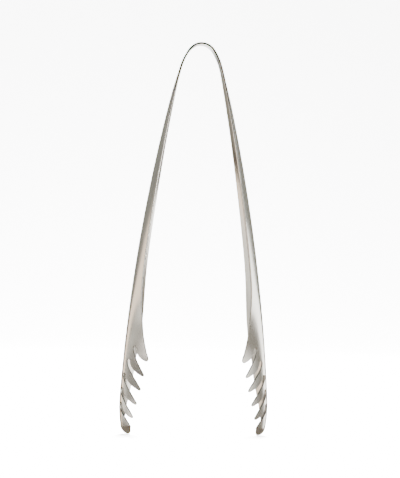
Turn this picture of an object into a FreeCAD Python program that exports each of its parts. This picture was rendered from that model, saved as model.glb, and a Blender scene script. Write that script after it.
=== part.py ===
"""One-piece sprung kitchen tongs: a bow spring, two gutter handles and two clawed heads.

Millimetres. +Z is up, the tongs stand on their two tips with the bow on top. X is across the
tongs, so the plane X = 0 lies between the arms. The claws are on the -Y side of each head.
The origin is on the ground, midway between the tips and in the middle of the strip's width.
"""
import FreeCAD, Part

import math
import os

from FreeCAD import Vector

# ---- sheet and strip ----
SHEET = 1.5                 # thickness of the stainless sheet
STRIP_HALF = 7.0            # half the width of the flat strip at the bow

# ---- crest line of the right arm: tangent arcs from the top of the bow to the tip ----
# (radius, direction at its end in degrees: 0 runs outwards, 90 straight down, 180 inwards)
CROWN = (11.5, 56.0)
SHOULDER = (45.0, 72.0)
UPPER_ARM = (375.0, 77.0)
LOWER_ARM = (1307.2, 86.5)
HEEL = (98.0, 99.5)
TIP_CURL = (6.9, 172.0)
CREST_ARCS = [CROWN, SHOULDER, UPPER_ARM, LOWER_ARM, HEEL, TIP_CURL]
ROWS_PER_ARC = [5, 5, 15, 5, 6]      # surface rows along each arc below the crown
CURL_SHARE = 0.55           # how much of the tip's curl turns the flanges with it

# ---- where the flexing strip, the stiff handle and the head begin ----
FLEX_DIRECTION = 60.0       # direction of the crest at the flexure line
LEAF_BOTTOM = 256.0         # height at which the flat leaf has become a stiff gutter
HEAD_TOP = 97.0             # height at which the handle widens into the head

# ---- gutter: (height, half width front, depth front, half width rear, depth rear) ----
GUTTER = [
    (290.0, 7.0, 0.0, 7.0, 0.0),
    (272.0, 7.0, 0.0, 7.0, 0.0),
    (262.0, 7.0, 0.5, 7.0, 1.0),
    (248.0, 7.0, 1.3, 7.0, 2.3),
    (224.0, 7.1, 2.4, 7.1, 3.8),
    (200.0, 7.2, 3.5, 7.2, 5.2),
    (176.0, 7.3, 4.4, 7.3, 6.4),
    (152.0, 7.4, 5.2, 7.4, 7.3),
    (128.0, 7.5, 5.8, 7.5, 8.2),
    (110.0, 7.6, 6.6, 7.7, 9.3),
    (97.0, 7.7, 8.2, 7.9, 10.3),
    (84.0, 8.0, 10.6, 8.3, 10.9),
    (73.0, 8.4, 12.9, 8.7, 10.7),
    (63.0, 8.9, 16.0, 9.0, 9.8),
    (55.0, 9.5, 19.1, 9.0, 9.0),
    (45.0, 9.8, 19.8, 8.9, 8.5),
    (34.0, 9.6, 18.6, 8.4, 7.3),
    (22.0, 8.8, 16.4, 7.3, 5.4),
    (12.0, 7.6, 13.3, 5.8, 3.2),
    (5.0, 6.2, 9.7, 4.2, 1.7),
    (0.0, 4.6, 6.5, 2.6, 0.7),
]
CREST_ROUNDING = 4.0        # how far from the crest the section stays rounded

# ---- claws, seen from the front: five hooked teeth and the spoon tip ----
TOOTH_TIPS = [(35.4, 54.4), (37.9, 43.4), (40.0, 33.0), (42.7, 22.4), (45.2, 12.4)]
SLOT_ROOTS = [(44.7, 65.3), (49.2, 55.5), (51.7, 45.1), (53.3, 34.5), (54.0, 23.6)]
SPOON_CORNER = (46.3, 5.3)
SLOT_HALF = 0.95            # half the width of a slot at its root
FIRST_TIP_RADIUS = 1.6
TIP_RADIUS = 1.1
SLOT_RUN_TOOTH = 5.5        # how far a slot runs straight down along the tooth above
SLOT_RUN_NEXT = 6.0         # and along the tooth below
TOOTH_RUN = 4.3             # straight run of a tooth's lower edge before its tip
NEXT_RUN = 7.0              # straight run of a tooth's upper edge before its tip
UPPER_EDGE = (-0.47, -0.88)     # direction of a tooth's upper edge at its tip
LOWER_EDGE = (-0.90, -0.43)     # direction of a tooth's lower edge at its tip
FIRST_UPPER_EDGE = (-0.10, -0.995)  # the first tooth hangs from the front rim
LAST_LOWER_EDGE = (-0.56, 0.83)     # the spoon's lip rises towards its corner
FREE_SIDE = 24.0            # any X well inside the mouth, clear of the teeth
CUTTER_FOOT = -4.0          # the cutter ends this far below the ground
CUTTER_SPARE = 3.0          # and reaches this far past the first tooth and the spoon
CUTTER_DEPTH = 40.0         # and this far in front of the crest

COLUMNS = 7                 # section points on each side of the crest
SURFACE_LEAD = 1.0          # turn of the crest between the crown's end and the surface's first row
ZONE_MARGIN = 0.8           # turn by which a thick zone is made too long before it is cut
PLATE_MARGIN = 2.0          # and the same for the leaf
OFFSET_TOLERANCE = 0.01
HALVINGS = 50               # steps that find a direction from a height
BAND_OUT = 30.0             # the cutting blocks reach this far outside the crest line
BAND_IN = 25.0              # and this far inside it


def arc_step(radius, start, end):
    """Move along a crest arc between two directions, in degrees."""
    a, b = math.radians(start), math.radians(end)
    return radius * (math.sin(b) - math.sin(a)), radius * (math.cos(b) - math.cos(a))


def crest_height():
    """Height of the bow's top above the lowest point of the crest."""
    total, direction = 0.0, 0.0
    for radius, end in CREST_ARCS:
        total -= arc_step(radius, direction, end)[1]
        direction = end
    return total


HEIGHT = crest_height()


def crest_at(direction):
    """Outer crest point where the crest line runs in the given direction."""
    x, z, start = 0.0, HEIGHT, 0.0
    for radius, end in CREST_ARCS:
        stop = min(direction, end)
        dx, dz = arc_step(radius, start, stop)
        x, z = x + dx, z + dz
        if stop == direction:
            break
        start = end
    return Vector(x, 0, z)


def inward(direction):
    """Unit vector from the crest line towards the inside of the tongs."""
    a = math.radians(direction)
    return Vector(-math.sin(a), 0, -math.cos(a))


def gutter_at(height):
    """Section sizes at a height, by a smooth curve through the GUTTER rows."""
    rows = GUTTER
    k = 0
    while k < len(rows) - 2 and height < rows[k + 1][0]:
        k += 1
    before, low, high, after = rows[max(k - 1, 0)], rows[k], rows[k + 1], rows[min(k + 2, len(rows) - 1)]
    span = high[0] - low[0]
    t = min(max((height - low[0]) / span, 0.0), 1.0)
    sizes = []
    for i in range(1, len(low)):
        slope_low = (high[i] - before[i]) / (high[0] - before[0]) * span
        slope_high = (after[i] - low[i]) / (after[0] - low[0]) * span
        h00, h10 = 2 * t**3 - 3 * t**2 + 1, t**3 - 2 * t**2 + t
        h01, h11 = 3 * t**2 - 2 * t**3, t**3 - t**2
        sizes.append(h00 * low[i] + h10 * slope_low + h01 * high[i] + h11 * slope_high)
    return sizes


def rise(share):
    """Depth share of the section at a share of its half width: rounded at the crest, then straight."""
    sharp = STRIP_HALF / CREST_ROUNDING
    return (math.sqrt(1 + (sharp * share) ** 2) - 1) / (math.sqrt(1 + sharp**2) - 1)


def section_points(direction):
    """Points across the outer surface, from the rear rim to the front rim."""
    crest = crest_at(direction)
    heel_end = HEEL[1]
    turned = direction if direction < heel_end else heel_end + (direction - heel_end) * CURL_SHARE
    into = inward(turned)
    half_front, depth_front, half_rear, depth_rear = gutter_at(crest.z)
    points = []
    for k in range(COLUMNS, -COLUMNS - 1, -1):
        share = abs(k) / COLUMNS
        half, depth = (half_front, depth_front) if k < 0 else (half_rear, depth_rear)
        side = -1 if k < 0 else 1
        points.append(crest + into * (depth * rise(share)) + Vector(0, side * half * share, 0))
    return points


def arm_directions():
    """Crest directions of the surface's rows, from just above the flexure line to the tip."""
    directions = [CROWN[1] + SURFACE_LEAD]
    start = CROWN[1]
    for (radius, end), rows in zip(CREST_ARCS[1:], ROWS_PER_ARC):
        directions += [start + (end - start) * k / rows for k in range(1, rows + 1)]
        start = end
    return directions


def mouth_cutter():
    """Solid that cuts the slots and the outline of the claws out of the front flange."""
    edges = []

    def at(x, z):
        return Vector(x, 0, z)

    def tip_arc(tip, radius, upper, lower):
        """Round end of a tooth: its edge above, its extreme point and its edge below."""
        n_up = at(upper[1], -upper[0])
        n_low = at(-lower[1], lower[0])
        middle = (n_up + n_low).normalize()
        centre = at(*tip) - middle * radius
        first, last = centre + n_up * radius, centre + n_low * radius
        return first, last, Part.Arc(first, at(*tip), last).toShape()

    def bezier(points):
        curve = Part.BezierCurve()
        curve.setPoles(points)
        return curve.toShape()

    tips = TOOTH_TIPS + [SPOON_CORNER]
    start = None
    for i, tip in enumerate(tips):
        upper = FIRST_UPPER_EDGE if i == 0 else UPPER_EDGE
        lower = LAST_LOWER_EDGE if i == len(tips) - 1 else LOWER_EDGE
        radius = FIRST_TIP_RADIUS if i == 0 else TIP_RADIUS
        first, last, arc = tip_arc(tip, radius, upper, lower)
        if i == 0:
            start = first
        else:
            root = SLOT_ROOTS[i - 1]
            left = at(root[0] - SLOT_HALF, root[1] - SLOT_HALF)
            right = at(root[0] + SLOT_HALF, root[1] - SLOT_HALF)
            low = at(*LOWER_EDGE)
            up = at(*UPPER_EDGE)
            edges.append(bezier([previous, previous - low * TOOTH_RUN,
                                 left - at(0, SLOT_RUN_TOOTH), left]))
            edges.append(Part.Arc(left, at(*root), right).toShape())
            edges.append(bezier([right, right - at(0, SLOT_RUN_NEXT), first - up * NEXT_RUN, first]))
        edges.append(arc)
        previous = last
    end = at(previous.x + CUTTER_SPARE, CUTTER_FOOT)
    far_low, far_high = at(FREE_SIDE, CUTTER_FOOT), at(FREE_SIDE, start.z + CUTTER_SPARE)
    for a, b in [(previous, end), (end, far_low), (far_low, far_high), (far_high, start)]:
        edges.append(Part.LineSegment(a, b).toShape())
    outline = Part.Wire(Part.__sortEdges__(edges))
    return Part.Face(outline).extrude(Vector(0, -CUTTER_DEPTH, 0))


def arm_surface():
    """Outer face of the right arm from just above the flexure line to the tip, with its claws cut."""
    grid = [section_points(direction) for direction in arm_directions()]
    surface = Part.BSplineSurface()
    surface.interpolate(grid)
    return surface.toShape().cut(mouth_cutter()).Faces[0]


def thick_plate(directions):
    """Solid sheet over a stretch of the arm: outer and inner faces joined by ruled edges."""
    outer_grid = [section_points(direction) for direction in directions]
    outer = Part.BSplineSurface()
    outer.interpolate(outer_grid)
    inner_grid = []
    for u, row in zip(outer.getUKnots(), outer_grid):
        inner_grid.append([p + outer.normal(u, v) * SHEET for v, p in zip(outer.getVKnots(), row)])
    inner = Part.BSplineSurface()
    inner.interpolate(inner_grid)
    faces = [outer.toShape(), inner.toShape()]
    for pair in zip(edge_curves(outer), edge_curves(inner)):
        faces.append(Part.makeRuledSurface(*[curve.toShape() for curve in pair]))
    shell = Part.makeShell(faces)
    shell.sewShape()
    return Part.makeSolid(shell)


def edge_curves(surface):
    """The four boundary curves of a surface."""
    u0, u1, v0, v1 = surface.bounds()
    return [surface.uIso(u0), surface.uIso(u1), surface.vIso(v0), surface.vIso(v1)]


def direction_at(height):
    """Direction of the crest line where it passes a height, by halving."""
    low, high = 0.0, TIP_CURL[1]
    for _ in range(HALVINGS):
        middle = (low + high) / 2
        if crest_at(middle).z > height:
            low = middle
        else:
            high = middle
    return low


def band(top, bottom):
    """Block that holds the stretch of the right arm between two crest directions."""
    corners = []
    for direction, sides in [(top, (-BAND_OUT, BAND_IN)), (bottom, (BAND_IN, -BAND_OUT))]:
        if direction is None:
            below = -BAND_OUT
            corners += [Vector(corners[1].x, 0, below), Vector(corners[0].x, 0, below)]
        else:
            corners += [crest_at(direction) + inward(direction) * side for side in sides]
    outline = Part.makePolygon(corners + corners[:1])
    block = Part.Face(outline).extrude(Vector(0, 2 * BAND_OUT, 0))
    block.translate(Vector(0, -BAND_OUT, 0))
    return block


def bow_strip():
    """The flat strip over the top, from the left flexure line to the right one."""
    shoulder_middle = (CROWN[1] + FLEX_DIRECTION) / 2
    edges = []
    ends = []
    for depth in (0.0, SHEET):
        points = []
        for direction in (0.0, CROWN[1] / 2, CROWN[1], shoulder_middle, FLEX_DIRECTION):
            points.append(crest_at(direction) + inward(direction) * depth)
        top, crown_mid, crown_end, shoulder_mid, end = points
        mirrored = [Vector(-p.x, 0, p.z) for p in (crown_end, shoulder_mid, end)]
        edges.append(Part.Arc(crown_end, top, mirrored[0]).toShape())
        edges.append(Part.Arc(crown_end, shoulder_mid, end).toShape())
        edges.append(Part.Arc(mirrored[0], mirrored[1], mirrored[2]).toShape())
        ends.append((end, mirrored[2]))
    for outer, inner in zip(*ends):
        edges.append(Part.LineSegment(outer, inner).toShape())
    outline = Part.Wire(Part.__sortEdges__(edges))
    strip = Part.Face(outline).extrude(Vector(0, 2 * STRIP_HALF, 0))
    strip.translate(Vector(0, -STRIP_HALF, 0))
    return strip


def mirrored(shape):
    """The same piece on the left arm."""
    return shape.mirror(Vector(0, 0, 0), Vector(1, 0, 0))


def main():
    """Make every piece and write it to its own file."""
    surface = arm_surface()
    leaf_end, head_start = direction_at(LEAF_BOTTOM), direction_at(HEAD_TOP)
    zones = {"leaf": (FLEX_DIRECTION, leaf_end), "handle": (leaf_end, head_start), "claw": (head_start, None)}
    pieces = {"spring_bow": bow_strip()}
    for name, (top, bottom) in zones.items():
        if name == "leaf":
            plate = thick_plate([d for d in arm_directions() if d < leaf_end + PLATE_MARGIN])
            right = plate.common(band(top, bottom)).Solids[0]
        else:
            outside = surface.common(band(top - ZONE_MARGIN, bottom)).Faces[0]
            thick = outside.makeOffsetShape(SHEET, OFFSET_TOLERANCE, fill=True)
            right = thick.common(band(top, bottom)).Solids[0]
        pieces["right_" + name] = right
        pieces["left_" + name] = mirrored(right)
    os.makedirs("parts", exist_ok=True)
    for name, shape in pieces.items():
        shape.exportStep("parts/" + name + ".step")
        box = shape.BoundBox
        print(f"{name:14s} {shape.ShapeType} valid {shape.isValid()} {shape.Volume / 1000:7.3f} cm3  "
              f"X {box.XMin:7.2f} {box.XMax:7.2f}  Y {box.YMin:6.2f} {box.YMax:6.2f}  "
              f"Z {box.ZMin:7.2f} {box.ZMax:7.2f}")
    pivot = crest_at(FLEX_DIRECTION) + inward(FLEX_DIRECTION) * SHEET
    print(f"flexure line at X {pivot.x:.3f} Z {pivot.z:.3f}")


if __name__ == "__main__":
    main()
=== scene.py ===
"""Looks of the sprung kitchen tongs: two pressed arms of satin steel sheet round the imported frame.

Metres, in the frame's own axes: +Z up, X across the tongs, the claws on the -Y side. Each arm is
blanked flat with its claws, pressed along its crest line by a Geometry Nodes tree, and then given
its thickness with rounded rims. The two arms meet at the top of the bow, where X is 0.
"""
import logging
import math
from dataclasses import dataclass, field
from enum import Enum

import bmesh
import bpy
import numpy as np
from mathutils import Matrix, Vector


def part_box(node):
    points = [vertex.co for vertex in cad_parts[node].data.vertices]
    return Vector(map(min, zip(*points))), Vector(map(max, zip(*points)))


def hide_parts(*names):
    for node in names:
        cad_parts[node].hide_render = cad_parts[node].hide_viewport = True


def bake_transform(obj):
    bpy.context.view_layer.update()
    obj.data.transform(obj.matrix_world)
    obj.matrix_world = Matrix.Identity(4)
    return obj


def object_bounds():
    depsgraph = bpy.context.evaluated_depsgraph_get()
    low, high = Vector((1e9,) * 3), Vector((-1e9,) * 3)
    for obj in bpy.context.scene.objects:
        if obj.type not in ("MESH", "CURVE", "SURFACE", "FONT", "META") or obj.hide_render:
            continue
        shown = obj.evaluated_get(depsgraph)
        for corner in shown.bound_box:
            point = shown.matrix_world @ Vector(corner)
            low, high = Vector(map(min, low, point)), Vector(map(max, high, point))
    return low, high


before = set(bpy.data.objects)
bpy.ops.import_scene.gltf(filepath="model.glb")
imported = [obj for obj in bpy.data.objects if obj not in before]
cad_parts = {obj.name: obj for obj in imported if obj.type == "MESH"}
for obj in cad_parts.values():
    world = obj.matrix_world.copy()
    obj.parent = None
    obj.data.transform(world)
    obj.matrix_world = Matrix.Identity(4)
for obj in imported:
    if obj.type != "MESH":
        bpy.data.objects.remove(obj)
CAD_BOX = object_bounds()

LOG = logging.getLogger("tongs")
MM = 0.001


class Side(Enum):
    """Which arm of the tongs: the sign is the side of X that it stands on."""

    LEFT = -1
    RIGHT = 1


class Attribute(str, Enum):
    """Names of the blank's point attributes, which the press tree reads."""

    ALONG = "along"
    SIDE = "side"
    DEPTH = "depth"
    LEAN = "lean"


@dataclass(frozen=True)
class CrestArc:
    """One tangent arc of the crest line: its radius and the direction at its end in degrees."""

    radius: float
    end: float


@dataclass
class CrestLine:
    """Outer line of an arm from the top of the bow to the tip, as tangent arcs.

    Direction 0 runs outwards, 90 straight down and 180 inwards.
    """

    height: float
    arcs: tuple[CrestArc, ...] = (
        CrestArc(11.5 * MM, 56.0),
        CrestArc(45.0 * MM, 72.0),
        CrestArc(375.0 * MM, 77.0),
        CrestArc(1307.2 * MM, 86.5),
        CrestArc(98.0 * MM, 99.5),
        CrestArc(6.9 * MM, 172.0),
    )
    curl_share: float = 0.40

    @property
    def length(self) -> float:
        """Length of the whole crest line."""
        return self.length_at(self.arcs[-1].end)

    def length_at(self, direction: float) -> float:
        """Length from the top of the bow to where the line runs in a direction.

        Args:
            direction: the line's direction in degrees.

        Returns:
            The arc length in metres.
        """
        total, start = 0.0, 0.0
        for arc in self.arcs:
            stop = min(direction, arc.end)
            total += arc.radius * math.radians(max(stop - start, 0.0))
            start = arc.end
        return total

    def sample(self, along: np.ndarray) -> tuple[np.ndarray, np.ndarray, np.ndarray]:
        """Points of the line at some lengths.

        Args:
            along: lengths from the top of the bow.

        Returns:
            X, Z and the direction in radians.
        """
        x = np.zeros_like(along)
        z = np.full_like(along, self.height)
        direction = np.zeros_like(along)
        left, start = along.copy(), 0.0
        for k, arc in enumerate(self.arcs):
            first, last = math.radians(start), math.radians(arc.end)
            room = arc.radius * (last - first)
            is_last = k == len(self.arcs) - 1
            step = np.maximum(left, 0.0) if is_last else np.clip(left, 0.0, room)
            turned = first + step / arc.radius
            x += arc.radius * (np.sin(turned) - math.sin(first))
            z += arc.radius * (np.cos(turned) - math.cos(first))
            direction = np.where(step > 0, turned, direction)
            left, start = left - room, arc.end
        return x, z, direction

    def lean(self, direction: np.ndarray) -> np.ndarray:
        """Angle by which the flanges lag behind the tip's curl, in radians."""
        heel = math.radians(self.arcs[-2].end)
        return np.maximum(direction - heel, 0.0) * (1.0 - self.curl_share)


@dataclass
class Gutter:
    """Section sizes of the pressed arm at heights above the ground, in millimetres.

    Each row is height, half width and depth of the front flange, then of the rear flange.
    """

    crest_rounding: float = 4.0 * MM
    strip_half: float = 7.0 * MM
    rows: tuple[tuple[float, float, float, float, float], ...] = (
        (290.0, 7.0, 0.0, 7.0, 0.0),
        (272.0, 7.0, 0.0, 7.0, 0.0),
        (262.0, 7.0, 0.5, 7.0, 1.0),
        (248.0, 7.0, 1.3, 7.0, 2.3),
        (224.0, 7.1, 2.4, 7.1, 3.8),
        (200.0, 7.2, 3.5, 7.2, 5.2),
        (176.0, 7.3, 4.4, 7.3, 6.4),
        (152.0, 7.4, 5.2, 7.4, 7.3),
        (128.0, 7.5, 5.8, 7.5, 8.2),
        (110.0, 7.6, 6.6, 7.7, 9.3),
        (97.0, 7.7, 8.2, 7.9, 10.3),
        (84.0, 8.0, 10.6, 8.3, 10.9),
        (73.0, 8.4, 12.9, 8.7, 10.7),
        (63.0, 8.9, 16.0, 9.0, 9.8),
        (55.0, 9.5, 19.1, 9.0, 9.0),
        (45.0, 9.8, 19.8, 8.9, 8.5),
        (34.0, 9.6, 18.6, 8.4, 7.3),
        (22.0, 8.8, 16.4, 7.3, 5.4),
        (12.0, 7.6, 13.3, 5.8, 3.2),
        (5.0, 6.2, 9.7, 4.2, 1.7),
        (0.0, 4.6, 6.5, 2.6, 0.7),
    )

    @property
    def sharp(self) -> float:
        """How straight the flanges are beside the rounded crest."""
        return self.strip_half / self.crest_rounding

    @property
    def rise_scale(self) -> float:
        """Makes the rise reach 1 at the full half width."""
        return math.sqrt(1 + self.sharp**2) - 1

    def sizes(self, height: np.ndarray) -> np.ndarray:
        """Section sizes by a smooth curve through the rows.

        Args:
            height: heights above the ground in metres.

        Returns:
            One row per height: half width front, depth front, half width rear, depth rear.
        """
        rows = np.array(self.rows[::-1]) * MM
        knots, values = rows[:, 0], rows[:, 1:]
        slopes = np.empty_like(values)
        slopes[1:-1] = (values[2:] - values[:-2]) / (knots[2:] - knots[:-2])[:, None]
        slopes[0] = (values[1] - values[0]) / (knots[1] - knots[0])
        slopes[-1] = (values[-1] - values[-2]) / (knots[-1] - knots[-2])
        k = np.clip(np.searchsorted(knots, height) - 1, 0, len(knots) - 2)
        span = (knots[k + 1] - knots[k])[:, None]
        t = np.clip((height - knots[k])[:, None] / span, 0.0, 1.0)
        return (
            (2 * t**3 - 3 * t**2 + 1) * values[k]
            + (t**3 - 2 * t**2 + t) * span * slopes[k]
            + (3 * t**2 - 2 * t**3) * values[k + 1]
            + (t**3 - t**2) * span * slopes[k + 1]
        )

    def rise(self, share: np.ndarray) -> np.ndarray:
        """Depth share at a share of the half width."""
        return (np.sqrt(1 + (self.sharp * share) ** 2) - 1) / self.rise_scale

    def share_of_rise(self, rise: np.ndarray) -> np.ndarray:
        """Share of the half width at a depth share."""
        return np.sqrt((rise * self.rise_scale + 1) ** 2 - 1) / self.sharp

    def girth(self, half: np.ndarray, depth: np.ndarray, shares: np.ndarray) -> np.ndarray:
        """Length across the sheet from the crest to some shares of the half width.

        Args:
            half: half widths, one per place.
            depth: depths, one per place.
            shares: increasing shares from 0.

        Returns:
            One row of lengths per place.
        """
        slope = self.sharp**2 * shares / (np.sqrt(1 + (self.sharp * shares) ** 2) * self.rise_scale)
        speed = np.sqrt(half[:, None] ** 2 + (depth[:, None] * slope[None, :]) ** 2)
        steps = (speed[:, 1:] + speed[:, :-1]) / 2 * np.diff(shares)[None, :]
        return np.concatenate([np.zeros((len(half), 1)), np.cumsum(steps, axis=1)], axis=1)


def bezier(points: list[tuple[float, float]], count: int) -> list[tuple[float, float]]:
    """Points along a cubic Bezier curve.

    Args:
        points: its four control points.
        count: how many points to return, both ends included.

    Returns:
        The points in order.
    """
    made = []
    for k in range(count):
        t = k / (count - 1)
        weights = ((1 - t) ** 3, 3 * t * (1 - t) ** 2, 3 * t * t * (1 - t), t**3)
        made.append(tuple(sum(w * p[i] for w, p in zip(weights, points)) for i in range(2)))
    return made


def circle_points(
    centre: Vector, radius: float, start: float, turn: float, count: int
) -> list[tuple[float, float]]:
    """Points along a circle's arc in the plane of X and Z.

    Args:
        centre: the circle's centre.
        radius: its radius.
        start: angle of the first point in radians.
        turn: signed angle of the arc.
        count: how many points to return, both ends included.

    Returns:
        The points in order.
    """
    angles = [start + turn * k / (count - 1) for k in range(count)]
    return [(centre.x + radius * math.cos(a), centre.y + radius * math.sin(a)) for a in angles]


@dataclass
class ClawPattern:
    """Front outline of the claws, in millimetres, in the plane of X and Z of the right arm."""

    tips: tuple[tuple[float, float], ...] = (
        (35.4, 54.4), (37.9, 43.4), (40.0, 33.0), (42.7, 22.4), (45.2, 12.4), (46.3, 5.3),
    )
    roots: tuple[tuple[float, float], ...] = (
        (44.7, 65.3), (49.2, 55.5), (51.7, 45.1), (53.3, 34.5), (54.0, 23.6),
    )
    slot_half: float = 0.95
    first_tip_radius: float = 1.6
    tip_radius: float = 1.1
    run_tooth: float = 5.5
    run_next: float = 6.0
    edge_below_run: float = 4.3
    edge_above_run: float = 7.0
    above: Vector = field(default_factory=lambda: Vector((-0.47, -0.88)).normalized())
    below: Vector = field(default_factory=lambda: Vector((-0.90, -0.43)).normalized())
    first_above: Vector = field(default_factory=lambda: Vector((-0.10, -0.995)).normalized())
    last_below: Vector = field(default_factory=lambda: Vector((-0.56, 0.83)).normalized())
    tip_points: int = 9
    root_points: int = 9
    tooth_points: int = 22
    next_points: int = 30

    def outline(self) -> np.ndarray:
        """The claws' edge from the first tooth's tip down to the spoon tip.

        Returns:
            Points in metres, one row of X and Z each.
        """
        points: list[tuple[float, float]] = []
        for i, tip in enumerate(self.tips):
            above = self.first_above if i == 0 else self.above
            below = self.last_below if i == len(self.tips) - 1 else self.below
            radius = self.first_tip_radius if i == 0 else self.tip_radius
            n_above = Vector((above.y, -above.x))
            n_below = Vector((-below.y, below.x))
            middle = (n_above + n_below).normalized()
            centre = Vector(tip) - middle * radius
            start = math.atan2(n_above.y, n_above.x)
            turn = (math.atan2(n_below.y, n_below.x) - start) % (2 * math.pi)
            arc = circle_points(centre, radius, start, turn, self.tip_points)
            if i:
                root = self.roots[i - 1]
                lift = root[1] - self.slot_half
                left, right = (root[0] - self.slot_half, lift), (root[0] + self.slot_half, lift)
                tooth = points[-1]
                leave = (
                    tooth[0] - self.below.x * self.edge_below_run,
                    tooth[1] - self.below.y * self.edge_below_run,
                )
                reach = (
                    arc[0][0] - self.above.x * self.edge_above_run,
                    arc[0][1] - self.above.y * self.edge_above_run,
                )
                into_slot = [tooth, leave, (left[0], left[1] - self.run_tooth), left]
                out_of_slot = [right, (right[0], right[1] - self.run_next), reach, arc[0]]
                root_centre = Vector((root[0], lift))
                points += bezier(into_slot, self.tooth_points)[1:-1]
                points += circle_points(root_centre, self.slot_half, math.pi, -math.pi, self.root_points)
                points += bezier(out_of_slot, self.next_points)[1:-1]
            points += arc
        return np.array(points) * MM


@dataclass
class Blank:
    """The flat blank of one arm: along is the length down the crest, across the girth from it."""

    crest: CrestLine
    gutter: Gutter
    claws: ClawPattern
    rim_rings: tuple[float, ...] = (0.12 * MM, 0.25 * MM)
    rim_step: float = 1.0 * MM
    spoon_round: float = 9.0 * MM
    lip_bulge: float = 1.2 * MM
    lip_share: float = 0.62
    lip_points: int = 20
    corner_run: float = 0.8 * MM
    join_run: float = 4.0 * MM
    join_pull: float = 0.4
    join_points: int = 8
    girth_steps: int = 60
    head_height: float = 120.0 * MM
    merge: float = 0.02 * MM

    def flange_girth(self, along: np.ndarray, front: bool, share: float = 1.0) -> np.ndarray:
        """Girth of a flange from the crest out to a share of its half width."""
        _, z, _ = self.crest.sample(along)
        sizes = self.gutter.sizes(z)
        half, depth = (sizes[:, 0], sizes[:, 1]) if front else (sizes[:, 2], sizes[:, 3])
        return self.gutter.girth(half, depth, np.linspace(0, share, self.girth_steps))[:, -1]

    def unroll(self, points: np.ndarray) -> np.ndarray:
        """Lay points of the claws' front outline flat on the blank.

        Args:
            points: rows of X and Z on the outer face.

        Returns:
            Rows of along and across, with across negative on the front side.
        """
        along = np.linspace(0.0, self.crest.length + 4 * MM, 4000)
        x, z, direction = self.crest.sample(along)
        turned = direction - self.crest.lean(direction)
        into = np.stack([-np.sin(turned), -np.cos(turned)], axis=1)
        flat = []
        for p in points:
            offset = p[None, :] - np.stack([x, z], axis=1)
            side = offset[:, 0] * into[:, 1] - offset[:, 1] * into[:, 0]
            depth = (offset * into).sum(axis=1)
            crosses = side[:-1] * side[1:] <= 0
            inside = (depth[:-1] > -0.5 * MM) & (z[:-1] < self.head_height)
            crossing = np.nonzero(crosses & inside)[0]
            k = crossing[np.argmin(depth[crossing])]
            t = side[k] / (side[k] - side[k + 1])
            flat.append((along[k] + t * (along[k + 1] - along[k]), depth[k] + t * (depth[k + 1] - depth[k])))
        flat = np.array(flat)
        _, heights, _ = self.crest.sample(flat[:, 0])
        sizes = self.gutter.sizes(heights)
        shares = self.gutter.share_of_rise(np.maximum(flat[:, 1], 0) / sizes[:, 1])
        across = [
            self.gutter.girth(size[None, 0], size[None, 1], np.linspace(0, share, self.girth_steps))[0, -1]
            for size, share in zip(sizes, shares)
        ]
        return np.stack([flat[:, 0], -np.array(across)], axis=1)

    def outline(self) -> np.ndarray:
        """Closed outline of the blank, from the top of the bow down the rear rim and back up the front.

        Returns:
            Rows of along and across. The first and last points lie on the cut at the top of the bow.
        """
        length = self.crest.length
        claws = self.unroll(self.claws.outline())
        rear_end = length - self.spoon_round
        rear = np.arange(0.0, rear_end, self.rim_step)
        rear_rim = np.stack([rear, self.flange_girth(rear, front=False)], axis=1)
        angle = np.linspace(0.0, math.pi / 2, 24)
        spoon = rear_end + self.spoon_round * np.sin(angle)
        widths = self.flange_girth(np.minimum(spoon, length), front=False)
        spoon_rim = np.stack([spoon, widths * np.cos(angle) ** 0.8], axis=1)
        corner, before = claws[-1], claws[-2]
        leaving = (corner - before) / np.linalg.norm(corner - before)
        lip = bezier([
            (length, 0.0),
            (length + self.lip_bulge, corner[1] * self.lip_share),
            tuple(corner + leaving * self.corner_run),
            tuple(corner),
        ], self.lip_points)[1:-1]
        front = np.arange(0.0, claws[0][0] - self.join_run, self.rim_step)
        front_rim = np.stack([front, -self.flange_girth(front, front=True)], axis=1)
        arriving = (claws[1] - claws[0]) / np.linalg.norm(claws[1] - claws[0])
        heading = (front_rim[-1] - front_rim[-2]) / self.rim_step
        join = bezier([
            tuple(front_rim[-1]),
            tuple(front_rim[-1] + heading * self.join_run * self.join_pull),
            tuple(claws[0] - arriving * self.join_run * self.join_pull),
            tuple(claws[0]),
        ], self.join_points)[1:-1]
        down_front = np.concatenate([front_rim, np.array(join), claws])
        return np.concatenate([rear_rim, spoon_rim, np.array(lip), down_front[::-1]])

    def along_cuts(self) -> np.ndarray:
        """Lengths at which the blank is divided: finely in the bow, the head and the spoon tip."""
        bow_end, head = self.crest.length_at(73.0), self.crest.length_at(83.5)
        spoon = self.crest.length_at(98.0)
        return np.concatenate([
            [0.03 * MM, 0.15 * MM],
            np.arange(0.5 * MM, bow_end, 0.6 * MM),
            np.arange(bow_end + 0.4 * MM, head, 2.2 * MM),
            np.arange(head, spoon, 1.1 * MM),
            np.arange(spoon, self.crest.length, 0.5 * MM),
        ])

    def across_cuts(self) -> np.ndarray:
        """Girths at which the blank is divided: finely along the crest."""
        fine = np.arange(0.2 * MM, 4.2 * MM, 0.4 * MM)
        wide = np.arange(4.6 * MM, 24 * MM, 0.9 * MM)
        return np.concatenate([-wide[::-1], -fine[::-1], fine, wide])

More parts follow.
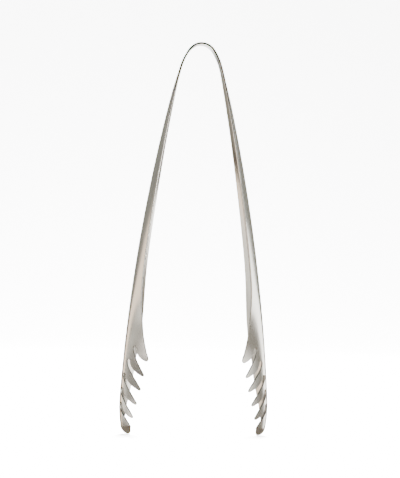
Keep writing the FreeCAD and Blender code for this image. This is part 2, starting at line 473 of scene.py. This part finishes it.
    def mesh(self) -> tuple[bpy.types.Mesh, np.ndarray]:
        """The blank as one flat layer, with the attributes that the press tree reads.

        Returns:
            The mesh and each vertex's distance from the rim, with the cut at the bow left out.
        """
        outline = self.outline()
        bm = bmesh.new()
        corners = [bm.verts.new((a, c, 0.0)) for a, c in outline]
        face = bm.faces.new(corners)
        for ring in self.rim_rings:
            bm.normal_update()
            bmesh.ops.inset_region(bm, faces=[face], thickness=ring, use_even_offset=True, use_boundary=True)
        for axis, cuts in ((0, self.along_cuts()), (1, self.across_cuts())):
            for cut in cuts:
                at, normal = Vector(), Vector()
                at[axis], normal[axis] = cut, 1.0
                geometry = bm.verts[:] + bm.edges[:] + bm.faces[:]
                bmesh.ops.bisect_plane(bm, geom=geometry, dist=self.merge, plane_co=at, plane_no=normal)
        bmesh.ops.triangulate(bm, faces=[f for f in bm.faces if len(f.verts) > 4])
        mesh = bpy.data.meshes.new("blank")
        bm.to_mesh(mesh)
        bm.free()
        flat = np.array([v.co[:2] for v in mesh.vertices])
        self.store(mesh, flat)
        return mesh, self.rim_distance(flat, outline)

    def store(self, mesh: bpy.types.Mesh, flat: np.ndarray) -> None:
        """Write the press tree's attributes onto the blank.

        Args:
            mesh: the flat blank.
            flat: its vertices' along and across.
        """
        _, z, direction = self.crest.sample(flat[:, 0])
        sizes = self.gutter.sizes(z)
        front = flat[:, 1] < 0
        half = np.where(front, sizes[:, 0], sizes[:, 2])
        depth = np.where(front, sizes[:, 1], sizes[:, 3])
        shares = np.linspace(0.0, 1.5, 90)
        girths = self.gutter.girth(half, depth, shares)
        share = np.array([np.interp(g, row, shares) for g, row in zip(np.abs(flat[:, 1]), girths)])
        values = {
            Attribute.ALONG: flat[:, 0],
            Attribute.SIDE: np.where(front, -1.0, 1.0) * share * half,
            Attribute.DEPTH: depth * self.gutter.rise(share),
            Attribute.LEAN: self.crest.lean(direction),
        }
        for name, value in values.items():
            layer = mesh.attributes.new(name.value, "FLOAT", "POINT")
            layer.data.foreach_set("value", value.astype(np.float32))

    @staticmethod
    def rim_distance(flat: np.ndarray, outline: np.ndarray) -> np.ndarray:
        """Distance of points from the outline, apart from its closing edge at the bow."""
        start, end = outline[:-1], outline[1:]
        run = end - start
        squared = (run**2).sum(axis=1) + 1e-18
        nearest = np.empty(len(flat))
        for k in range(0, len(flat), 2000):
            offset = flat[k:k + 2000, None, :] - start[None, :, :]
            t = np.clip((offset * run[None]).sum(axis=2) / squared[None], 0.0, 1.0)
            gap = offset - run[None] * t[:, :, None]
            nearest[k:k + 2000] = np.sqrt((gap**2).sum(axis=2).min(axis=1))
        return nearest


class PressTree:
    """Geometry Nodes tree that presses a flat blank into a gutter along a crest curve."""

    def __init__(self) -> None:
        """Build the tree with its named inputs."""
        self.tree = bpy.data.node_groups.new("press_along_crest", "GeometryNodeTree")
        face = self.tree.interface
        face.new_socket("Blank", in_out="INPUT", socket_type="NodeSocketGeometry")
        self.crest_id = face.new_socket("Crest", in_out="INPUT", socket_type="NodeSocketObject").identifier
        self.steel_id = face.new_socket("Steel", in_out="INPUT", socket_type="NodeSocketMaterial").identifier
        face.new_socket("Pressed", in_out="OUTPUT", socket_type="NodeSocketGeometry")
        self.build()

    def node(self, kind: str, **settings: object) -> bpy.types.Node:
        """Add a node and set its properties."""
        made = self.tree.nodes.new(kind)
        for name, value in settings.items():
            setattr(made, name, value)
        return made

    def link(self, source: bpy.types.NodeSocket, target: bpy.types.NodeSocket) -> None:
        """Join two sockets."""
        self.tree.links.new(source, target)

    def attribute(self, name: Attribute) -> bpy.types.NodeSocket:
        """Socket that reads one of the blank's attributes."""
        made = self.node("GeometryNodeInputNamedAttribute", data_type="FLOAT")
        made.inputs["Name"].default_value = name.value
        return made.outputs["Attribute"]

    def scaled(self, vector: bpy.types.NodeSocket, factor: bpy.types.NodeSocket) -> bpy.types.NodeSocket:
        """Vector times a number."""
        made = self.node("ShaderNodeVectorMath", operation="SCALE")
        self.link(vector, made.inputs[0])
        self.link(factor, made.inputs["Scale"])
        return made.outputs["Vector"]

    def build(self) -> None:
        """Place each vertex beside the crest point at its own length."""
        source = self.node("NodeGroupInput")
        crest = self.node("GeometryNodeObjectInfo", transform_space="ORIGINAL")
        self.link(source.outputs["Crest"], crest.inputs["Object"])
        sample = self.node("GeometryNodeSampleCurve", mode="LENGTH", use_all_curves=True)
        self.link(crest.outputs["Geometry"], sample.inputs["Curves"])
        self.link(self.attribute(Attribute.ALONG), sample.inputs["Length"])
        across = self.node("ShaderNodeCombineXYZ")
        across.inputs["Y"].default_value = 1.0
        inwards = self.node("ShaderNodeVectorMath", operation="CROSS_PRODUCT")
        self.link(across.outputs["Vector"], inwards.inputs[0])
        self.link(sample.outputs["Tangent"], inwards.inputs[1])
        leaned = self.node("ShaderNodeVectorRotate", rotation_type="AXIS_ANGLE")
        leaned.inputs["Axis"].default_value = (0.0, 1.0, 0.0)
        self.link(inwards.outputs["Vector"], leaned.inputs["Vector"])
        turn = self.node("ShaderNodeMath", operation="MULTIPLY")
        turn.inputs[1].default_value = -1.0
        self.link(self.attribute(Attribute.LEAN), turn.inputs[0])
        self.link(turn.outputs["Value"], leaned.inputs["Angle"])
        deep = self.scaled(leaned.outputs["Vector"], self.attribute(Attribute.DEPTH))
        wide = self.scaled(across.outputs["Vector"], self.attribute(Attribute.SIDE))
        section = self.node("ShaderNodeVectorMath", operation="ADD")
        self.link(deep, section.inputs[0])
        self.link(wide, section.inputs[1])
        place = self.node("ShaderNodeVectorMath", operation="ADD")
        self.link(sample.outputs["Position"], place.inputs[0])
        self.link(section.outputs["Vector"], place.inputs[1])
        pressed = self.node("GeometryNodeSetPosition")
        self.link(source.outputs["Blank"], pressed.inputs["Geometry"])
        self.link(place.outputs["Vector"], pressed.inputs["Position"])
        realized = self.node("GeometryNodeRealizeInstances")
        self.link(pressed.outputs["Geometry"], realized.inputs["Geometry"])
        finish = self.node("GeometryNodeSetMaterial")
        self.link(realized.outputs["Geometry"], finish.inputs["Geometry"])
        self.link(source.outputs["Steel"], finish.inputs["Material"])
        target = self.node("NodeGroupOutput")
        self.link(finish.outputs["Geometry"], target.inputs["Pressed"])

    def press(
        self, blank: bpy.types.Object, crest: bpy.types.Object, steel: bpy.types.Material
    ) -> bpy.types.Mesh:
        """Run the tree on a blank and keep the result as a plain mesh.

        Args:
            blank: object with the flat blank.
            crest: the crest curve.
            steel: the sheet's material.

        Returns:
            The pressed mesh.
        """
        modifier = blank.modifiers.new("press", "NODES")
        modifier.node_group = self.tree
        modifier[self.crest_id] = crest
        modifier[self.steel_id] = steel
        graph = bpy.context.evaluated_depsgraph_get()
        made = bpy.data.meshes.new_from_object(blank.evaluated_get(graph))
        blank.modifiers.remove(modifier)
        return made


@dataclass(frozen=True)
class SatinSteel:
    """Satin-polished stainless sheet, brushed along its length."""

    name: str = "satin_steel"
    base: tuple[float, float, float] = (0.62, 0.60, 0.555)
    roughness: float = 0.20
    roughness_play: float = 0.04
    line_scale: float = 2400.0
    cloud_scale: float = 45.0
    bump: float = 0.01
    line_depth: float = 0.02 * MM
    line_stretch: float = 0.02
    dark_share: float = 0.95
    light_share: float = 1.04

    def material(self) -> bpy.types.Material:
        """Build the node material."""
        made = bpy.data.materials.new(self.name)
        made.use_nodes = True
        nodes, links = made.node_tree.nodes, made.node_tree.links
        shader = nodes["Principled BSDF"]
        shader.inputs["Metallic"].default_value = 1.0
        where = nodes.new("ShaderNodeUVMap")
        where.uv_map = "sheet"
        stretch = nodes.new("ShaderNodeMapping")
        stretch.inputs["Scale"].default_value = (self.line_stretch, 1.0, 1.0)
        links.new(where.outputs["UV"], stretch.inputs["Vector"])
        lines = nodes.new("ShaderNodeTexNoise")
        lines.inputs["Scale"].default_value = self.line_scale
        lines.inputs["Detail"].default_value = 3.0
        links.new(stretch.outputs["Vector"], lines.inputs["Vector"])
        place = nodes.new("ShaderNodeTexCoord")
        clouds = nodes.new("ShaderNodeTexNoise")
        clouds.inputs["Scale"].default_value = self.cloud_scale
        clouds.inputs["Detail"].default_value = 2.0
        links.new(place.outputs["Object"], clouds.inputs["Vector"])
        mixed = nodes.new("ShaderNodeMath")
        mixed.operation = "ADD"
        links.new(lines.outputs["Fac"], mixed.inputs[0])
        links.new(clouds.outputs["Fac"], mixed.inputs[1])
        rough = nodes.new("ShaderNodeMapRange")
        rough.inputs["From Min"].default_value = 0.6
        rough.inputs["From Max"].default_value = 1.4
        rough.inputs["To Min"].default_value = self.roughness - self.roughness_play
        rough.inputs["To Max"].default_value = self.roughness + self.roughness_play
        links.new(mixed.outputs["Value"], rough.inputs["Value"])
        links.new(rough.outputs["Result"], shader.inputs["Roughness"])
        tone = nodes.new("ShaderNodeValToRGB")
        low, high = tone.color_ramp.elements
        low.position, high.position = 0.3, 0.7
        low.color = (*[c * self.dark_share for c in self.base], 1.0)
        high.color = (*[min(c * self.light_share, 1.0) for c in self.base], 1.0)
        links.new(clouds.outputs["Fac"], tone.inputs["Fac"])
        links.new(tone.outputs["Color"], shader.inputs["Base Color"])
        bump = nodes.new("ShaderNodeBump")
        bump.inputs["Strength"].default_value = self.bump
        bump.inputs["Distance"].default_value = self.line_depth
        links.new(lines.outputs["Fac"], bump.inputs["Height"])
        links.new(bump.outputs["Normal"], shader.inputs["Normal"])
        return made


@dataclass
class Arm:
    """One arm with its half of the bow, as a closed sheet."""

    side: Side
    crest: CrestLine
    blank: Blank
    press: PressTree
    steel: bpy.types.Material
    sheet: float = 1.5 * MM
    rim_radius: float = 0.37 * MM
    bend_from: float = 28.0
    bend_to: float = 73.5
    curve_step: float = 0.2 * MM

    def crest_curve(self) -> bpy.types.Object:
        """The crest line as a curve object, for the press tree only."""
        along = np.append(np.arange(0.0, self.crest.length, self.curve_step), self.crest.length)
        x, z, _ = self.crest.sample(along)
        data = bpy.data.curves.new("crest", "CURVE")
        data.dimensions = "3D"
        spline = data.splines.new("POLY")
        spline.points.add(len(along) - 1)
        for point, px, pz in zip(spline.points, x, z):
            point.co = (px, 0.0, pz, 1.0)
        made = bpy.data.objects.new("crest", data)
        bpy.context.scene.collection.objects.link(made)
        return made

    def make(self) -> bpy.types.Object:
        """Blank, press and thicken the sheet, and set it on its side of the tongs.

        Returns:
            The finished piece.
        """
        flat, rim = self.blank.mesh()
        blank = bpy.data.objects.new("blank", flat)
        bpy.context.scene.collection.objects.link(blank)
        crest = self.crest_curve()
        pressed = self.press.press(blank, crest, self.steel)
        name = f"{self.side.name.lower()}_arm_sheet"
        mesh = self.thicken(pressed, rim, name)
        for helper in (blank, crest):
            bpy.data.objects.remove(helper)
        piece = bpy.data.objects.new(name, mesh)
        bpy.context.scene.collection.objects.link(piece)
        return piece

    @staticmethod
    def outward_normals(
        pressed: bpy.types.Mesh, place: np.ndarray, along: np.ndarray
    ) -> tuple[np.ndarray, bool]:
        """Smooth unit normals of the pressed layer, pointing out of the gutter.

        Args:
            pressed: the outer face.
            place: its vertices' positions.
            along: its vertices' lengths down the crest.

        Returns:
            The normals, and whether the layer's faces have to be turned round.
        """
        pressed.calc_loop_triangles()
        triangles = np.empty(len(pressed.loop_triangles) * 3, np.int32)
        pressed.loop_triangles.foreach_get("vertices", triangles)
        triangles = triangles.reshape(-1, 3)
        a, b, c = (place[triangles[:, k]] for k in range(3))
        weighted = np.cross(b - a, c - a)
        normal = np.zeros_like(place)
        for k in range(3):
            np.add.at(normal, triangles[:, k], weighted)
        crown = along < 3 * MM
        flip = bool(normal[crown][:, 2].sum() < 0)
        if flip:
            normal = -normal
        normal[along < 1e-6, 0] = 0.0
        return normal / np.linalg.norm(normal, axis=1)[:, None], flip

    def thicken(self, pressed: bpy.types.Mesh, rim: np.ndarray, name: str) -> bpy.types.Mesh:
        """Give the pressed layer its thickness, with rounded rims.

        Args:
            pressed: the outer face.
            rim: each vertex's distance from the rim.
            name: the new mesh's name.

        Returns:
            A closed mesh with a map of the sheet's length and girth.
        """
        count = len(pressed.vertices)
        place = np.empty(count * 3)
        pressed.vertices.foreach_get("co", place)
        place = place.reshape(-1, 3)
        along = np.empty(count)
        pressed.attributes[Attribute.ALONG.value].data.foreach_get("value", along)
        side = np.empty(count)
        pressed.attributes[Attribute.SIDE.value].data.foreach_get("value", side)
        normal, flip = self.outward_normals(pressed, place, along)
        top = along < 1e-6
        inside = np.maximum(self.rim_radius - rim, 0.0)
        drop = self.rim_radius - np.sqrt(self.rim_radius**2 - inside**2)
        outer = place - normal * drop[:, None]
        inner = place - normal * (self.sheet - drop)[:, None]
        points = np.concatenate([outer, inner])
        points[:, 0] *= self.side.value
        outward = (self.side is Side.RIGHT) != flip
        faces, walls = [], {}
        for polygon in pressed.polygons:
            corners = list(polygon.vertices)
            loop = corners if outward else corners[::-1]
            faces.append(loop)
            faces.append([v + count for v in reversed(loop)])
            for a, b in zip(loop, loop[1:] + loop[:1]):
                if walls.pop((b, a), None) is None:
                    walls[(a, b)] = True
        for a, b in walls:
            faces.append([b, a, a + count, b + count])
        mesh = bpy.data.meshes.new(name)
        mesh.from_pydata(points.tolist(), [], faces)
        uv = mesh.uv_layers.new(name="sheet")
        corner = np.empty(len(mesh.loops), np.int32)
        mesh.loops.foreach_get("vertex_index", corner)
        spread = np.stack([np.tile(along, 2), np.tile(side, 2)], axis=1)
        uv.data.foreach_set("uv", spread[corner].astype(np.float32).ravel())
        mesh.materials.append(self.steel)
        mesh.polygons.foreach_set("use_smooth", [True] * len(mesh.polygons))
        mesh.validate()
        rounded = np.array([v.vector for v in mesh.vertex_normals])
        flat = np.concatenate([normal, -normal])
        flat[:, 0] *= self.side.value
        level = np.tile((inside < 1e-7) | top, 2)[:, None]
        mesh.normals_split_custom_set_from_vertices(np.where(level, flat, rounded).tolist())
        return mesh

    def fit(self, piece: bpy.types.Object) -> None:
        """Bake the piece's placement into its mesh and hide the frame's bow and this side's leaf, handle and
        claw.

        Args:
            piece: the finished sheet.
        """
        word = self.side.name.lower()
        start = self.crest.sample(np.array([self.crest.length_at(self.bend_from)]))
        end = self.crest.sample(np.array([self.crest.length_at(self.bend_to)]))
        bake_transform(piece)
        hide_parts("spring_bow", f"{word}_leaf", f"{word}_handle", f"{word}_claw")


@dataclass(frozen=True)
class Panel:
    """A soft bright part of the room, seen from the tongs: its direction, half sizes and glow."""

    towards: tuple[float, float, float]
    reach: float
    tall: float
    glow: tuple[float, float, float]


class Room(Enum):
    """Parts of the room that the steel mirrors."""

    RIGHT_SIDE = Panel((0.978, -0.17, 0.10), 0.25, 0.45, (5.5, 5.5, 5.4))
    RIGHT_FRONT = Panel((0.62, -0.78, -0.09), 0.16, 0.13, (4.0, 4.0, 3.9))
    LEFT_SIDE = Panel((-0.97, -0.22, 0.10), 0.20, 0.40, (2.6, 2.1, 1.7))
    LEFT_FRONT = Panel((-0.63, -0.76, -0.20), 0.16, 0.09, (3.2, 3.1, 3.0))
    LEFT_GROUND = Panel((-0.86, -0.50, -0.12), 0.20, 0.10, (2.0, 2.0, 1.9))
    BACKDROP = Panel((0.0, 1.0, -0.14), 0.22, 0.17, (4.0, 4.0, 4.0))


@dataclass
class Studio:
    """Pale floor, soft light and the camera."""

    look_at: Vector
    distance: float = 1.235
    yaw: float = 4.0
    roll: float = 1.25
    view_height: float = 0.478 * 0.74

    def floor(self) -> bpy.types.Object:
        """A pale floor that curves up into a backdrop."""
        bm = bmesh.new()
        front, depth, rise, radius, half = -1.6, 1.0, 2.2, 0.8, 2.0
        profile = [(front, 0.0), (depth, 0.0)]
        for k in range(1, 13):
            a = math.pi / 2 * k / 12
            profile.append((depth + radius * math.sin(a), radius * (1 - math.cos(a))))
        profile.append((depth + radius, rise))
        rows = [[bm.verts.new((x, y, z)) for x in (-half, half)] for y, z in profile]
        for low, high in zip(rows, rows[1:]):
            bm.faces.new([low[0], low[1], high[1], high[0]]).smooth = True
        mesh = bpy.data.meshes.new("floor")
        bm.to_mesh(mesh)
        bm.free()
        made = bpy.data.objects.new("floor", mesh)
        bpy.context.scene.collection.objects.link(made)
        material = bpy.data.materials.new("pale_floor")
        material.use_nodes = True
        shader = material.node_tree.nodes["Principled BSDF"]
        shader.inputs["Base Color"].default_value = (0.95, 0.95, 0.95, 1.0)
        shader.inputs["Roughness"].default_value = 0.7
        shader.inputs["Emission Color"].default_value = (1.0, 1.0, 1.0, 1.0)
        shader.inputs["Emission Strength"].default_value = 4.5
        mesh.materials.append(material)
        made.visible_glossy = False
        return made

    def lamp(
        self, name: str, place: tuple[float, float, float], size: tuple[float, float], power: float
    ) -> None:
        """A soft rectangular light that faces the tongs and that the steel doesn't mirror.

        Args:
            name: the light's name.
            place: where it stands.
            size: its width and height.
            power: its power in watts.
        """
        data = bpy.data.lights.new(name, "AREA")
        data.shape = "RECTANGLE"
        data.size, data.size_y = size
        data.energy = power
        made = bpy.data.objects.new(name, data)
        made.location = place
        made.rotation_euler = (self.look_at - Vector(place)).to_track_quat("-Z", "Y").to_euler()
        made.visible_glossy = False
        bpy.context.scene.collection.objects.link(made)

    def world(self) -> None:
        """A grey room that the steel mirrors: dark in front and above, warm below, with soft panels."""
        world = bpy.data.worlds.new("studio")
        world.use_nodes = True
        nodes, links = world.node_tree.nodes, world.node_tree.links
        background = nodes["Background"]
        place = nodes.new("ShaderNodeTexCoord")
        split = nodes.new("ShaderNodeSeparateXYZ")
        links.new(place.outputs["Generated"], split.inputs["Vector"])
        depth = self.ramp(nodes, links, split.outputs["Y"], [
            (0.00, (0.03, 0.03, 0.03)), (0.045, (0.12, 0.12, 0.115)), (0.10, (0.33, 0.32, 0.29)),
            (0.45, (0.42, 0.42, 0.38)), (0.80, (0.50, 0.50, 0.46)),
        ])
        height = self.ramp(nodes, links, split.outputs["Z"], [
            (0.30, (0.95, 0.82, 0.74)), (0.46, (1.10, 1.00, 0.93)), (0.52, (1.0, 1.0, 1.0)),
            (0.63, (0.95, 0.95, 0.95)), (0.665, (0.35, 0.35, 0.35)), (0.72, (0.08, 0.08, 0.08)),
        ])
        room = nodes.new("ShaderNodeVectorMath")
        room.operation = "MULTIPLY"
        links.new(depth, room.inputs[0])
        links.new(height, room.inputs[1])
        total = room.outputs["Vector"]
        for part in Room:
            add = nodes.new("ShaderNodeVectorMath")
            add.operation = "ADD"
            links.new(total, add.inputs[0])
            links.new(self.glow(nodes, links, place.outputs["Generated"], part.value), add.inputs[1])
            total = add.outputs["Vector"]
        links.new(total, background.inputs["Color"])
        bpy.context.scene.world = world

    @staticmethod
    def ramp(nodes: bpy.types.Nodes, links: bpy.types.NodeLinks, source: bpy.types.NodeSocket,
             stops: list[tuple[float, tuple[float, float, float]]]) -> bpy.types.NodeSocket:
        """Colours along one component of the direction, from -1 to 1.

        Args:
            nodes: the world's nodes.
            links: the world's links.
            source: the component.
            stops: positions from 0 to 1 with their colours.

        Returns:
            The colour socket.
        """
        shift = nodes.new("ShaderNodeMapRange")
        shift.inputs["From Min"].default_value = -1.0
        links.new(source, shift.inputs["Value"])
        ramp = nodes.new("ShaderNodeValToRGB")
        links.new(shift.outputs["Result"], ramp.inputs["Fac"])
        elements = ramp.color_ramp.elements
        elements.remove(elements[1])
        for k, (position, colour) in enumerate(stops):
            stop = elements[0] if k == 0 else elements.new(position)
            stop.position, stop.color = position, (*colour, 1.0)
        return ramp.outputs["Color"]

    @staticmethod
    def glow(nodes: bpy.types.Nodes, links: bpy.types.NodeLinks, direction: bpy.types.NodeSocket,
             panel: Panel) -> bpy.types.NodeSocket:
        """Light of one panel, fading out towards its border.

        Args:
            nodes: the world's nodes.
            links: the world's links.
            direction: the direction that is looked in.
            panel: the panel.

        Returns:
            The colour socket.
        """
        offset = nodes.new("ShaderNodeVectorMath")
        offset.operation = "SUBTRACT"
        offset.inputs[1].default_value = Vector(panel.towards).normalized()
        links.new(direction, offset.inputs[0])
        share = nodes.new("ShaderNodeVectorMath")
        share.operation = "DIVIDE"
        share.inputs[1].default_value = (panel.reach, panel.reach, panel.tall)
        links.new(offset.outputs["Vector"], share.inputs[0])
        length = nodes.new("ShaderNodeVectorMath")
        length.operation = "LENGTH"
        links.new(share.outputs["Vector"], length.inputs[0])
        fade = nodes.new("ShaderNodeMapRange")
        fade.interpolation_type = "SMOOTHERSTEP"
        fade.inputs["From Min"].default_value = 1.15
        fade.inputs["From Max"].default_value = 0.7
        links.new(length.outputs["Value"], fade.inputs["Value"])
        lit = nodes.new("ShaderNodeVectorMath")
        lit.operation = "SCALE"
        lit.inputs[0].default_value = panel.glow
        links.new(fade.outputs["Result"], lit.inputs["Scale"])
        return lit.outputs["Vector"]

    def camera(self) -> None:
        """The camera, level with the middle of the tongs and slightly to their left."""
        data = bpy.data.cameras.new("camera")
        data.sensor_width = 36.0
        data.lens = data.sensor_width * self.distance / self.view_height
        made = bpy.data.objects.new("camera", data)
        yaw = math.radians(self.yaw)
        towards = Vector((math.sin(yaw), math.cos(yaw), 0.0))
        made.location = self.look_at - towards * self.distance
        turn = towards.to_track_quat("-Z", "Y").to_matrix() @ Matrix.Rotation(math.radians(self.roll), 3, "Z")
        made.rotation_euler = turn.to_euler()
        bpy.context.scene.collection.objects.link(made)
        bpy.context.scene.camera = made

    def build(self) -> None:
        """Set up the whole studio."""
        self.floor()
        self.world()
        self.lamp("overhead", (0.05, 0.25, 1.2), (0.4, 0.4), 330.0)
        self.camera()


def main() -> None:
    """Build both arms and the studio."""
    logging.basicConfig(level=logging.INFO, format="%(name)s: %(message)s")
    low, high = CAD_BOX
    crest = CrestLine(height=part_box("spring_bow")[1].z)
    blank = Blank(crest, Gutter(), ClawPattern())
    press = PressTree()
    steel = SatinSteel().material()
    for side in Side:
        arm = Arm(side, crest, blank, press, steel)
        piece = arm.make()
        arm.fit(piece)
        LOG.info("%s: %d vertices, %d faces", piece.name, len(piece.data.vertices), len(piece.data.polygons))
    Studio(look_at=Vector((2.1 * MM, 0.0, (low.z + high.z) / 2))).build()


if __name__ == "__main__":
    main()
